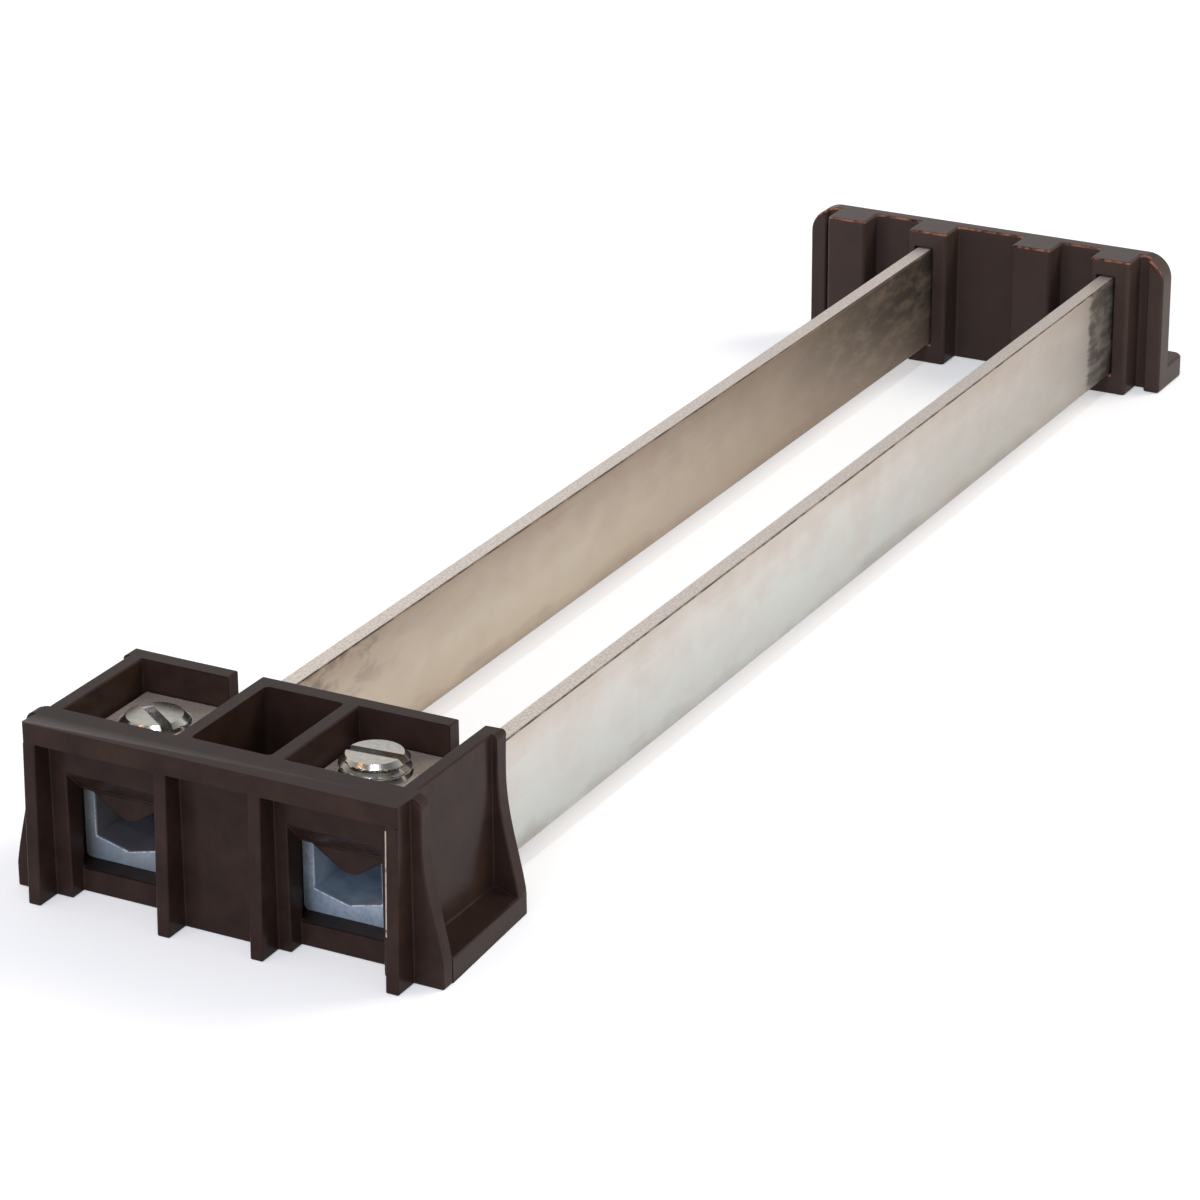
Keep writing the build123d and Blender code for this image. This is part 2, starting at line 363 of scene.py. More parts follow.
turned_to = add(
    tree, "ShaderNodeSeparateXYZ", {0: add(tree, "ShaderNodeNewGeometry").outputs["Normal"]}
).outputs
# The painted pale highlight on the rib edge: a narrow box round the edge, where the rounding looks forward.
highlight_noise = add(
    tree, "ShaderNodeTexNoise", {"Vector": where.outputs["Object"], "Scale": highlight_specks, "Detail": 2.0}
)
rib_highlight = add(
    tree, "ShaderNodeMapRange", {"Value": highlight_noise.outputs["Fac"], "From Min": 0.3, "From Max": 0.42}
).outputs[0]
for value, middle, reach in (
    (spot["X"], highlit_rib_edge, highlight_half_width),
    (spot["Y"], cad_low.y, highlight_depth),
    (spot["Z"], highlight_middle, highlight_reach),
    (turned_to["Y"], highlight_turn, highlight_turn_reach),
):
    inside = add(tree, "ShaderNodeMath", {0: value, 1: middle, 2: reach}, operation="COMPARE")
    rib_highlight = add(tree, "ShaderNodeMath", {0: rib_highlight, 1: inside.outputs[0]}, operation="MULTIPLY").outputs[0]
# The pale colour mixed in here is a painted highlight.
rib_highlit_tone = add(tree, "ShaderNodeMix", {0: rib_highlight, 6: shade.outputs[2], 7: linear("#C8BCA6")}, data_type="RGBA")
# Painted shade on top and on the upper front roundings, and a painted reddish highlight along the support's.
upper_edge = add(
    tree, "ShaderNodeMath", {0: turned_to["Z"], 1: upper_turn, 2: upper_turn_reach}, operation="COMPARE"
)
front_edge = add(
    tree, "ShaderNodeMath", {0: turned_to["Y"], 1: front_turn, 2: front_turn_reach}, operation="COMPARE"
)
rounding = add(
    tree, "ShaderNodeMath", {0: upper_edge.outputs[0], 1: front_edge.outputs[0]}, operation="MULTIPLY"
)
rear_line = add(tree, "ShaderNodeMath", {0: rounding.outputs[0], 1: at_rear.outputs[0]}, operation="MULTIPLY")
# Faces that look up and the upper front roundings are painted darker, as shade.
turned_up = add(tree, "ShaderNodeMath", {0: turned_to["Z"], 1: facing_up}, operation="GREATER_THAN")
shaded = add(
    tree,
    "ShaderNodeMath",
    {0: turned_up.outputs[0], 1: upward_shade, 2: rounding.outputs[0]},
    operation="MULTIPLY_ADD",
    use_clamp=True,
)
painted_shade_tone = add(
    tree, "ShaderNodeMix", {0: shaded.outputs[0], 6: rib_highlit_tone.outputs[2], 7: linear("#241A17")}, data_type="RGBA"
)
# A painted reddish highlight along the support's upper front edges, broken up by noise.
rear_highlight_breakup = add(
    tree,
    "ShaderNodeMapRange",
    {"Value": highlight_noise.outputs["Fac"], "From Min": 0.3, "From Max": 0.6, "To Max": 0.8},
)
rear_painted_highlight = add(
    tree, "ShaderNodeMath", {0: rear_line.outputs[0], 1: rear_highlight_breakup.outputs[0]}, operation="MULTIPLY"
)
skin = add(
    tree,
    "ShaderNodeMix",
    {0: rear_painted_highlight.outputs[0], 6: painted_shade_tone.outputs[2], 7: linear("#B4735C")},
    data_type="RGBA",
)
# The skin as it leaves the tool.
grain = add(
    tree, "ShaderNodeTexNoise", {"Vector": where.outputs["Object"], "Scale": moulding_grain, "Detail": 3.0}
)
sheen = add(tree, "ShaderNodeMapRange", {"Value": cloud.outputs["Fac"], "To Min": 0.17, "To Max": 0.27})
relief = add(tree, "ShaderNodeBump", {"Height": grain.outputs["Fac"], "Strength": 0.25, "Distance": 0.00003})
body_shader = add(
    tree,
    "ShaderNodeBsdfPrincipled",
    {
        "Base Color": skin.outputs[2],
        "Roughness": sheen.outputs["Result"],
        "IOR": 1.5,
        "Specular IOR Level": 0.09,
        "Normal": relief.outputs["Normal"],
    },
)
add(tree, "ShaderNodeOutputMaterial", {"Surface": body_shader.outputs[0]})

softened(
    "terminal_housing", "housing_moulding", housing_edge, housing_shortest, moulding, "frame"
)
softened("rear_support", "support_moulding", support_edge, support_shortest, moulding, "frame")


# Bus bars
# Two lengths of flat copper bar, 18 by 3 mm, which carry the current. They are drawn, sheared along their rims
# and tinned, and stand on edge, against the leg of a cage in front and in a seat of the support behind.
bar_foot = 0.0036
bar_top = 0.0216
left_bar_limit = 0.005

# Hot-tinned copper: a cloudy grey mirror in patches of about 9 mm, a little pink where the tin is thin, and
# browner towards the support, with finger marks in front and dark far ends. Painted shade and reflection darken
# its rims and make the whole left bar browner. The drawing streaks are finer than 0.1 mm and are drawn 0.7 mm
# wide. The sheared top is a bright grain, also drawn coarser, at 0.4 mm, with a broken dark line where it rounds
# over to the sides.
bar_clouds = 110.0
blush_patches = 210.0
finger_marks = 420.0
drawn_streaks = 1500.0
sheared_grain = 2600.0
browner_from, brownest_from = -0.035, 0.115
fingered_from, most_fingered_from = -0.066, -0.08
right_end_from, right_end_full = 0.1115, 0.113
left_end_from, left_end_full = 0.055, 0.113
duller_from, dullest_from = -0.09, 0.11
cloud_pull = 0.38
streak_pull = 0.1
ragged_by = 0.006
right_duller = 0.16
rim_turn, rim_turn_reach = 0.72, 0.22
tarnish_roughens, rim_roughens = 0.3, 0.35
tarnish_hides, shearing_hides = 0.55, 0.35
tinned = bpy.data.materials.new("tinned_copper_bar")
tinned.use_nodes = True
tree = tinned.node_tree
tree.nodes.clear()
where = add(tree, "ShaderNodeTexCoord")
spot = add(tree, "ShaderNodeSeparateXYZ", {0: where.outputs["Object"]})
along = add(tree, "ShaderNodeMapping", {"Vector": where.outputs["Object"], "Scale": (1.0, 0.7, 1.0)})
cloud = add(
    tree,
    "ShaderNodeTexNoise",
    {"Vector": along.outputs[0], "Scale": bar_clouds, "Detail": 4.0, "Roughness": 0.55},
)
streak_stretch = add(
    tree, "ShaderNodeMapping", {"Vector": where.outputs["Object"], "Scale": (1.0, 0.02, 1.0)}
)
streak = add(
    tree, "ShaderNodeTexNoise", {"Vector": streak_stretch.outputs[0], "Scale": drawn_streaks, "Detail": 2.0}
)
grain = add(
    tree, "ShaderNodeTexNoise", {"Vector": where.outputs["Object"], "Scale": sheared_grain, "Detail": 2.0}
)

# The colour goes by height on the bar, shifted by the clouds and streaks, with five tones for each bar. The
# tones are painted shade and reflection, darker at the foot and the top rim, and browner on the left bar.
height = add(
    tree, "ShaderNodeMapRange", {"Value": spot.outputs["Z"], "From Min": bar_foot, "From Max": bar_top}
)
cloud_shift = add(
    tree,
    "ShaderNodeMath",
    {0: cloud.outputs["Fac"], 1: cloud_pull, 2: -cloud_pull / 2},
    operation="MULTIPLY_ADD",
)
streak_shift = add(
    tree,
    "ShaderNodeMath",
    {0: streak.outputs["Fac"], 1: streak_pull, 2: -streak_pull / 2},
    operation="MULTIPLY_ADD",
)
drift = add(tree, "ShaderNodeMath", {0: cloud_shift.outputs[0], 1: streak_shift.outputs[0]}, operation="ADD")
level_on_bar = add(tree, "ShaderNodeMath", {0: height.outputs[0], 1: drift.outputs[0]}, operation="ADD")
skins = []
for stops in (
    ((0.0, "#B4B2AB"), (0.14, "#D0D2CC"), (0.42, "#D8D9D3"), (0.74, "#DFDBD4"), (1.0, "#D6CCC0")),
    ((0.0, "#B09D88"), (0.16, "#D0C0AA"), (0.45, "#DBCDB8"), (0.74, "#D8C8B4"), (1.0, "#C8B49F")),
):
    skin = add(tree, "ShaderNodeValToRGB", {"Fac": level_on_bar.outputs[0]})
    while len(skin.color_ramp.elements) < len(stops):
        skin.color_ramp.elements.new(0.5)
    for stop, (position, code) in zip(skin.color_ramp.elements, stops):
        stop.position = position
        stop.color = linear(code)
    skins.append(skin)
is_left = add(tree, "ShaderNodeMath", {0: spot.outputs["X"], 1: left_bar_limit}, operation="LESS_THAN")
face_tone = add(
    tree,
    "ShaderNodeMix",
    {0: is_left.outputs[0], 6: skins[0].outputs["Color"], 7: skins[1].outputs["Color"]},
    data_type="RGBA",
)
# Pink where the tin is thin, and brown tarnish that grows towards the support. The left bar's larger share of
# it is painted reflection.
blush_noise = add(
    tree, "ShaderNodeTexNoise", {"Vector": along.outputs[0], "Scale": blush_patches, "Detail": 2.0}
)
blush = add(
    tree,
    "ShaderNodeMapRange",
    {"Value": blush_noise.outputs["Fac"], "From Min": 0.42, "From Max": 0.66, "To Max": 0.15},
)
blushed = add(
    tree,
    "ShaderNodeMix",
    {0: blush.outputs[0], 6: face_tone.outputs[2], 7: linear("#C4A796")},
    data_type="RGBA",
)
# The left bar takes more of the brown, as a painted reflection of the shaded floor beside it.
far_limit = add(tree, "ShaderNodeMapRange", {"Value": is_left.outputs[0], "To Min": 0.42, "To Max": 0.75})
far_end = add(
    tree,
    "ShaderNodeMapRange",
    {
        "Value": spot.outputs["Y"],
        "From Min": browner_from,
        "From Max": brownest_from,
        "To Max": far_limit.outputs[0],
    },
    interpolation_type="SMOOTHSTEP",
)
tarnish_and_reflection = add(
    tree, "ShaderNodeMath", {0: far_end.outputs[0], 1: drift.outputs[0]}, operation="ADD", use_clamp=True
)
browned = add(
    tree,
    "ShaderNodeMix",
    {0: tarnish_and_reflection.outputs[0], 6: blushed.outputs[2], 7: linear("#A48E7A")},
    data_type="RGBA",
)
# Finger marks high on the left bar, behind the housing.
finger_stretch = add(
    tree, "ShaderNodeMapping", {"Vector": where.outputs["Object"], "Scale": (1.0, 0.35, 1.0)}
)
finger = add(
    tree,
    "ShaderNodeTexNoise",
    {"Vector": finger_stretch.outputs[0], "Scale": finger_marks, "Detail": 5.0, "Roughness": 0.65},
)
smudge = add(
    tree,
    "ShaderNodeMapRange",
    {"Value": finger.outputs["Fac"], "From Min": 0.48, "From Max": 0.64, "To Max": 0.55},
).outputs[0]
near_front = add(
    tree,
    "ShaderNodeMapRange",
    {"Value": spot.outputs["Y"], "From Min": fingered_from, "From Max": most_fingered_from},
)
high_up = add(tree, "ShaderNodeMapRange", {"Value": height.outputs[0], "From Min": 0.45, "From Max": 0.85})
for share in (near_front.outputs[0], high_up.outputs[0], is_left.outputs[0]):
    smudge = add(tree, "ShaderNodeMath", {0: smudge, 1: share}, operation="MULTIPLY").outputs[0]
smudged = add(tree, "ShaderNodeMix", {0: smudge, 6: browned.outputs[2], 7: linear("#6E5B4B")}, data_type="RGBA")
# Dark far ends: a ragged band beside the support on the right bar, a long brown fade on the left one.
ragged = add(
    tree,
    "ShaderNodeMath",
    {0: finger.outputs["Fac"], 1: ragged_by, 2: spot.outputs["Y"]},
    operation="MULTIPLY_ADD",
)
right_end = add(
    tree,
    "ShaderNodeMapRange",
    {"Value": ragged.outputs[0], "From Min": right_end_from, "From Max": right_end_full, "To Max": 0.85},
)
left_end = add(
    tree,
    "ShaderNodeMapRange",
    {"Value": spot.outputs["Y"], "From Min": left_end_from, "From Max": left_end_full},
)
left_height = add(
    tree, "ShaderNodeMapRange", {"Value": height.outputs[0], "From Min": -0.3, "From Max": 0.65}
)
left_high = add(
    tree, "ShaderNodeMath", {0: left_end.outputs[0], 1: left_height.outputs[0]}, operation="MULTIPLY"
)
end_share = add(
    tree, "ShaderNodeMix", {0: is_left.outputs[0], 2: right_end.outputs[0], 3: left_high.outputs[0]}
)
mottle = add(
    tree,
    "ShaderNodeMapRange",
    {"Value": finger.outputs["Fac"], "From Min": 0.36, "From Max": 0.56, "To Min": 0.4},
)
end_dark = add(tree, "ShaderNodeMath", {0: end_share.outputs[0], 1: mottle.outputs[0]}, operation="MULTIPLY")
ended = add(
    tree,
    "ShaderNodeMix",
    {0: end_dark.outputs[0], 6: smudged.outputs[2], 7: linear("#59514A")},
    data_type="RGBA",
)
# The sheared top, duller towards the support, and the broken line where it rounds over.
turned_to = add(tree, "ShaderNodeSeparateXYZ", {0: add(tree, "ShaderNodeNewGeometry").outputs["Normal"]})
on_top = add(
    tree, "ShaderNodeMath", {0: turned_to.outputs["Z"], 1: facing_up}, operation="GREATER_THAN"
)
grainy = add(tree, "ShaderNodeValToRGB", {"Fac": grain.outputs["Fac"]})
grainy.color_ramp.elements[0].position = 0.38
grainy.color_ramp.elements[0].color = linear("#D8CBC0")
grainy.color_ramp.elements[1].position = 0.6
grainy.color_ramp.elements[1].color = linear("#F6EBE0")
duller = add(
    tree,
    "ShaderNodeMapRange",
    {"Value": spot.outputs["Y"], "From Min": duller_from, "From Max": dullest_from, "To Max": 0.45},
)
right_too = add(
    tree,
    "ShaderNodeMath",
    {0: is_left.outputs[0], 1: -right_duller, 2: right_duller},
    operation="MULTIPLY_ADD",
)
dull = add(
    tree, "ShaderNodeMath", {0: duller.outputs[0], 1: right_too.outputs[0]}, operation="ADD", use_clamp=True
)
top_tone = add(
    tree,
    "ShaderNodeMix",
    {0: dull.outputs[0], 6: grainy.outputs["Color"], 7: linear("#A89E99")},
    data_type="RGBA",
)
sheared = add(
    tree,
    "ShaderNodeMix",
    {0: on_top.outputs[0], 6: ended.outputs[2], 7: top_tone.outputs[2]},
    data_type="RGBA",
)
rounding = add(
    tree, "ShaderNodeMath", {0: turned_to.outputs["Z"], 1: rim_turn, 2: rim_turn_reach}, operation="COMPARE"
)
broken = add(
    tree,
    "ShaderNodeMapRange",
    {"Value": finger.outputs["Fac"], "From Min": 0.4, "From Max": 0.56, "To Min": 0.15, "To Max": 0.85},
)
line = add(tree, "ShaderNodeMath", {0: rounding.outputs[0], 1: broken.outputs[0]}, operation="MULTIPLY")
tone = add(
    tree, "ShaderNodeMix", {0: line.outputs[0], 6: sheared.outputs[2], 7: linear("#6A5D55")}, data_type="RGBA"
)
# Tarnish makes the tin rougher and less metallic. The rounding is rougher still, and the sheared top less
# metallic.
shine = add(tree, "ShaderNodeMapRange", {"Value": cloud.outputs["Fac"], "To Min": 0.36, "To Max": 0.24})
filmed = add(
    tree,
    "ShaderNodeMath",
    {0: tarnish_and_reflection.outputs[0], 1: tarnish_roughens, 2: shine.outputs[0]},
    operation="MULTIPLY_ADD",
)
dulled = add(
    tree,
    "ShaderNodeMath",
    {0: rounding.outputs[0], 1: rim_roughens, 2: filmed.outputs[0]},
    operation="MULTIPLY_ADD",
)
under_film = add(
    tree, "ShaderNodeMath", {0: tarnish_and_reflection.outputs[0], 1: -tarnish_hides, 2: 1.0}, operation="MULTIPLY_ADD"
)
bare = add(
    tree,
    "ShaderNodeMath",
    {0: on_top.outputs[0], 1: -shearing_hides, 2: under_film.outputs[0]},
    operation="MULTIPLY_ADD",
)
relief = add(tree, "ShaderNodeBump", {"Height": streak.outputs["Fac"], "Strength": 0.1, "Distance": 0.00002})
body_shader = add(
    tree,
    "ShaderNodeBsdfPrincipled",
    {
        "Base Color": tone.outputs[2],
        "Metallic": bare.outputs[0],
        "Roughness": dulled.outputs[0],
        "Normal": relief.outputs["Normal"],
    },
)
add(tree, "ShaderNodeOutputMaterial", {"Surface": body_shader.outputs[0]})
for name in ("bus_bar_left", "bus_bar_right"):
    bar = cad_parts[name]
    bar.data.materials.clear()
    bar.data.materials.append(tinned)


# Clamp cages
# Each is a box of steel strip, open in front and behind, with a V groove in its floor for the cable and a
# tapped hole in its thick top for the screw. It is bent, tapped and zinc plated, and stands in its cell.
cage_edge = 0.00018
cage_shortest = 0.0003
cage_front = -0.12545
cage_top = 0.0223

# Zinc plated steel: blue grey and dull, with clouds of about 3 mm and a crystalline mottle. The crystals are a
# few hundredths of a millimetre and are drawn 1 mm coarse, so that they show. The cut front is speckled, with
# painted light that makes it brighter and whiter on the right cage, and painted shade at its foot. Its edges
# carry a painted white glint, and the top has a warm film. The left cage has painted shade, darker and browner,
# behind its front.
zinc_crystals = 900.0
zinc_clouds = 320.0
zinc_speckle = 1700.0
cut_skin, cut_depth = 0.0001, 0.0004
cut_shade_from, cut_darkest_from = 0.0095, 0.0065
top_skin = 0.0002
left_painted_shade = 0.75
plating_metal, top_more_metal = 0.25, 0.4
top_smoother = 0.14
plating_waves, top_more_waves = 0.2, 0.4
zinc = bpy.data.materials.new("zinc_plated_steel")
zinc.use_nodes = True
tree = zinc.node_tree
tree.nodes.clear()
where = add(tree, "ShaderNodeTexCoord")
crystal = add(tree, "ShaderNodeTexVoronoi", {"Vector": where.outputs["Object"], "Scale": zinc_crystals})
cloud = add(
    tree, "ShaderNodeTexNoise", {"Vector": where.outputs["Object"], "Scale": zinc_clouds, "Detail": 4.0}
)
tone = add(tree, "ShaderNodeValToRGB", {"Fac": cloud.outputs["Fac"]})
tone.color_ramp.elements[0].position = 0.35
tone.color_ramp.elements[0].color = linear("#A9B9C6")
tone.color_ramp.elements[1].position = 0.7
tone.color_ramp.elements[1].color = linear("#CEDCE8")
spot = add(tree, "ShaderNodeSeparateXYZ", {0: where.outputs["Object"]}).outputs
speckle = add(
    tree, "ShaderNodeTexNoise", {"Vector": where.outputs["Object"], "Scale": zinc_speckle, "Detail": 3.0}
)
# The cut front, painted lighter as painted light and whiter on the right cage, speckled, with painted shade
# at the foot.
cut_front = add(
    tree,
    "ShaderNodeMapRange",
    {"Value": spot["Y"], "From Min": cage_front + cut_depth, "From Max": cage_front + cut_skin},
)
bright = add(
    tree,
    "ShaderNodeMapRange",
    {"Value": speckle.outputs["Fac"], "From Min": 0.35, "From Max": 0.62, "To Min": 0.25},
)
cut = add(tree, "ShaderNodeMath", {0: cut_front.outputs[0], 1: bright.outputs[0]}, operation="MULTIPLY")
left_cage = add(tree, "ShaderNodeMath", {0: spot["X"], 1: 0.0}, operation="LESS_THAN")
cut_lit_tone = add(
    tree,
    "ShaderNodeMix",
    {0: left_cage.outputs[0], 6: linear("#DCE7F0"), 7: linear("#C0BFBB")},
    data_type="RGBA",
)
front_tone = add(
    tree,
    "ShaderNodeMix",
    {0: cut.outputs[0], 6: tone.outputs["Color"], 7: cut_lit_tone.outputs[2]},
    data_type="RGBA",
)
# Painted shade darkens the foot of the cut front.
low_down = add(
    tree,
    "ShaderNodeMapRange",
    {"Value": spot["Z"], "From Min": cut_shade_from, "From Max": cut_darkest_from, "To Max": 0.35},
)
cut_foot_shade = add(
    tree, "ShaderNodeMath", {0: low_down.outputs[0], 1: cut_front.outputs[0]}, operation="MULTIPLY"
)
foot_shaded = add(
    tree,
    "ShaderNodeMix",
    {0: cut_foot_shade.outputs[0], 6: front_tone.outputs[2], 7: linear("#7E8A95")},
    data_type="RGBA",
)
# The top with its warm film.
on_top = add(tree, "ShaderNodeMath", {0: spot["Z"], 1: cage_top - top_skin}, operation="GREATER_THAN")
film = add(
    tree,
    "ShaderNodeMapRange",
    {"Value": cloud.outputs["Fac"], "From Min": 0.3, "From Max": 0.7, "To Min": 1.0, "To Max": 0.55},
)
filmed = add(tree, "ShaderNodeMath", {0: on_top.outputs[0], 1: film.outputs[0]}, operation="MULTIPLY")
filmed_tone = add(
    tree,
    "ShaderNodeMix",
    {0: filmed.outputs[0], 6: foot_shaded.outputs[2], 7: linear("#E4D0BC")},
    data_type="RGBA",
)
# A painted white glint, broken, on the front edges, and painted shade, darker and browner, inside the left cage.
turned_to = add(
    tree, "ShaderNodeSeparateXYZ", {0: add(tree, "ShaderNodeNewGeometry").outputs["Normal"]}
).outputs
on_edge = add(
    tree, "ShaderNodeMath", {0: turned_to["Y"], 1: front_turn, 2: front_turn_reach}, operation="COMPARE"
)
glint_breakup = add(tree, "ShaderNodeMapRange", {"Value": speckle.outputs["Fac"], "From Min": 0.42, "From Max": 0.5})
painted_glint = add(tree, "ShaderNodeMath", {0: on_edge.outputs[0], 1: glint_breakup.outputs[0]}, operation="MULTIPLY")
# Painted shade inside the left cage, behind its front and below its top.
behind = add(tree, "ShaderNodeMath", {0: spot["Y"], 1: cage_front + cut_depth}, operation="GREATER_THAN")
below = add(tree, "ShaderNodeMath", {0: on_top.outputs[0], 1: 1.0}, operation="LESS_THAN")
dim = left_painted_shade
for share in (left_cage, behind, below):
    dim = add(tree, "ShaderNodeMath", {0: share.outputs[0], 1: dim}, operation="MULTIPLY").outputs[0]
dimmed = add(
    tree, "ShaderNodeMix", {0: dim, 6: filmed_tone.outputs[2], 7: linear("#76625A")}, data_type="RGBA"
)
# The white mixed in here is a painted glint.
tone_all = add(
    tree,
    "ShaderNodeMix",
    {0: painted_glint.outputs[0], 6: dimmed.outputs[2], 7: linear("#FFFFFF")},
    data_type="RGBA",
)
# The plating is dull and little metallic, but smoother, wavier and more metallic on top.
cut_metal = add(
    tree,
    "ShaderNodeMath",
    {0: painted_glint.outputs[0], 1: -plating_metal, 2: plating_metal},
    operation="MULTIPLY_ADD",
)
metal_share = add(
    tree,
    "ShaderNodeMath",
    {0: on_top.outputs[0], 1: top_more_metal, 2: cut_metal.outputs[0]},
    operation="MULTIPLY_ADD",
)
shine = add(tree, "ShaderNodeMapRange", {"Value": crystal.outputs["Distance"], "To Min": 0.3, "To Max": 0.48})
sheen = add(
    tree,
    "ShaderNodeMath",
    {0: on_top.outputs[0], 1: -top_smoother, 2: shine.outputs["Result"]},
    operation="MULTIPLY_ADD",
)
waves = add(
    tree, "ShaderNodeMath", {0: on_top.outputs[0], 1: top_more_waves, 2: plating_waves}, operation="MULTIPLY_ADD"
)
relief = add(
    tree,
    "ShaderNodeBump",
    {"Height": cloud.outputs["Fac"], "Strength": waves.outputs[0], "Distance": 0.00008},
)
body_shader = add(
    tree,
    "ShaderNodeBsdfPrincipled",
    {
        "Base Color": tone_all.outputs[2],
        "Metallic": metal_share.outputs[0],
        "Roughness": sheen.outputs[0],
        "Normal": relief.outputs["Normal"],
    },
)
add(tree, "ShaderNodeOutputMaterial", {"Surface": body_shader.outputs[0]})
for side in ("left", "right"):
    softened(
        f"clamp_cage_{side}", f"cage_{side}_plated", cage_edge, cage_shortest, zinc, "frame"
    )


# Clamp screws
# Headless M10 screws of steel, one in the tapped top of each cage, where they press the cable down. They are
# turned with a chamfer at both ends, threaded over their whole length, slotted for a screwdriver and plated.
thread_pitch = 0.0015
thread_depth = 0.00092
screw_chamfer = 0.001
point_chamfer = 0.0014
slot_width = 0.0016
slot_depth = 0.002
slot_angles = {"left": math.radians(-35), "right": math.radians(4)}
steps_round = 96
steps_down = 116
flank_slope = 2.9
flank_start = -0.32
same_rim_point = 0.00001
crest_angle = math.radians(35)

# Bright plated steel: a clean, slightly yellow mirror with clouds of about 4 mm. The marks that a screwdriver
# and the lathe leave on the slotted end are under 0.1 mm and are drawn as scuffs 0.8 mm across, so that they
# show. The scuffs lie on painted shade that darkens the whole slotted end.
plating_clouds = 260.0
end_scuffs = 1300.0
plated = bpy.data.materials.new("bright_plated_steel")
plated.use_nodes = True
tree = plated.node_tree
tree.nodes.clear()
where = add(tree, "ShaderNodeTexCoord")
cloud = add(
    tree, "ShaderNodeTexNoise", {"Vector": where.outputs["Object"], "Scale": plating_clouds, "Detail": 3.0}
)
tone = add(tree, "ShaderNodeValToRGB", {"Fac": cloud.outputs["Fac"]})
tone.color_ramp.elements[0].position = 0.35
tone.color_ramp.elements[0].color = linear("#DAD4C6")
tone.color_ramp.elements[1].position = 0.65
tone.color_ramp.elements[1].color = linear("#DCDDDD")
shine = add(tree, "ShaderNodeMapRange", {"Value": cloud.outputs["Fac"], "To Min": 0.16, "To Max": 0.3})
turned_to = add(tree, "ShaderNodeSeparateXYZ", {0: add(tree, "ShaderNodeNewGeometry").outputs["Normal"]})
# Scuffs on the slotted end only, over painted shade that darkens all of it.
faced = add(tree, "ShaderNodeMath", {0: turned_to.outputs["Z"], 1: facing_up}, operation="GREATER_THAN")
scratch = add(
    tree, "ShaderNodeTexNoise", {"Vector": where.outputs["Object"], "Scale": end_scuffs, "Detail": 3.0}
)
scuff = add(
    tree,
    "ShaderNodeMapRange",
    {"Value": scratch.outputs["Fac"], "From Min": 0.35, "From Max": 0.65, "To Min": 0.25, "To Max": 0.75},
)
scuffed_and_shaded = add(tree, "ShaderNodeMath", {0: faced.outputs[0], 1: scuff.outputs[0]}, operation="MULTIPLY")
face_tone = add(
    tree,
    "ShaderNodeMix",
    {0: scuffed_and_shaded.outputs[0], 6: tone.outputs["Color"], 7: linear("#C6BEB4")},
    data_type="RGBA",
)
body_shader = add(
    tree,
    "ShaderNodeBsdfPrincipled",
    {"Base Color": face_tone.outputs[2], "Metallic": 1.0, "Roughness": shine.outputs["Result"]},
)
add(tree, "ShaderNodeOutputMaterial", {"Surface": body_shader.outputs[0]})

# The threaded side is a flat sheet, wrapped round the axis. Its radius falls into the thread's groove, which
# climbs by one pitch a turn, and draws in at both chamfers. Two discs close it, and a box cuts the slot.
screw_tree = bpy.data.node_groups.new("threaded_screw", "GeometryNodeTree")
screw_sizes = {
    "Radius": "NodeSocketFloat",
    "Length": "NodeSocketFloat",
    "Pitch": "NodeSocketFloat",
    "Thread depth": "NodeSocketFloat",
    "Top chamfer": "NodeSocketFloat",
    "Point chamfer": "NodeSocketFloat",
    "Slot size": "NodeSocketVector",
    "Slot angle": "NodeSocketFloat",
    "Top centre": "NodeSocketVector",
}
for name, kind in screw_sizes.items():
    screw_tree.interface.new_socket(name, in_out="INPUT", socket_type=kind)
screw_tree.interface.new_socket("Geometry", in_out="OUTPUT", socket_type="NodeSocketGeometry")
tree = screw_tree
given = add(tree, "NodeGroupInput").outputs
sheet = add(
    tree,
    "GeometryNodeMeshGrid",
    {
        "Size X": 2 * math.pi,
        "Size Y": given["Length"],
        "Vertices X": steps_round + 1,
        "Vertices Y": steps_down + 1,
    },
)
spot = add(tree, "ShaderNodeSeparateXYZ", {0: add(tree, "GeometryNodeInputPosition").outputs[0]}).outputs
half_length = add(tree, "ShaderNodeMath", {0: given["Length"], 1: 0.5}, operation="MULTIPLY")
below_top = add(tree, "ShaderNodeMath", {0: half_length.outputs[0], 1: spot["Y"]}, operation="SUBTRACT")
above_point = add(tree, "ShaderNodeMath", {0: given["Length"], 1: below_top.outputs[0]}, operation="SUBTRACT")
# How deep the groove is here.
turn_share = add(tree, "ShaderNodeMath", {0: spot["X"], 1: 2 * math.pi}, operation="DIVIDE")
pitches = add(tree, "ShaderNodeMath", {0: spot["Y"], 1: given["Pitch"]}, operation="DIVIDE")
climb = add(tree, "ShaderNodeMath", {0: pitches.outputs[0], 1: turn_share.outputs[0]}, operation="ADD")
in_pitch = add(tree, "ShaderNodeMath", {0: climb.outputs[0]}, operation="FRACT")
off_crest = add(tree, "ShaderNodeMath", {0: in_pitch.outputs[0], 1: 0.5}, operation="SUBTRACT")
flank = add(tree, "ShaderNodeMath", {0: off_crest.outputs[0]}, operation="ABSOLUTE")
steep = add(
    tree,
    "ShaderNodeMath",
    {0: flank.outputs[0], 1: flank_slope, 2: flank_start},
    operation="MULTIPLY_ADD",
    use_clamp=True,
)
cut_in = add(tree, "ShaderNodeMath", {0: steep.outputs[0], 1: given["Thread depth"]}, operation="MULTIPLY")
thread_radius = add(tree, "ShaderNodeMath", {0: given["Radius"], 1: cut_in.outputs[0]}, operation="SUBTRACT")
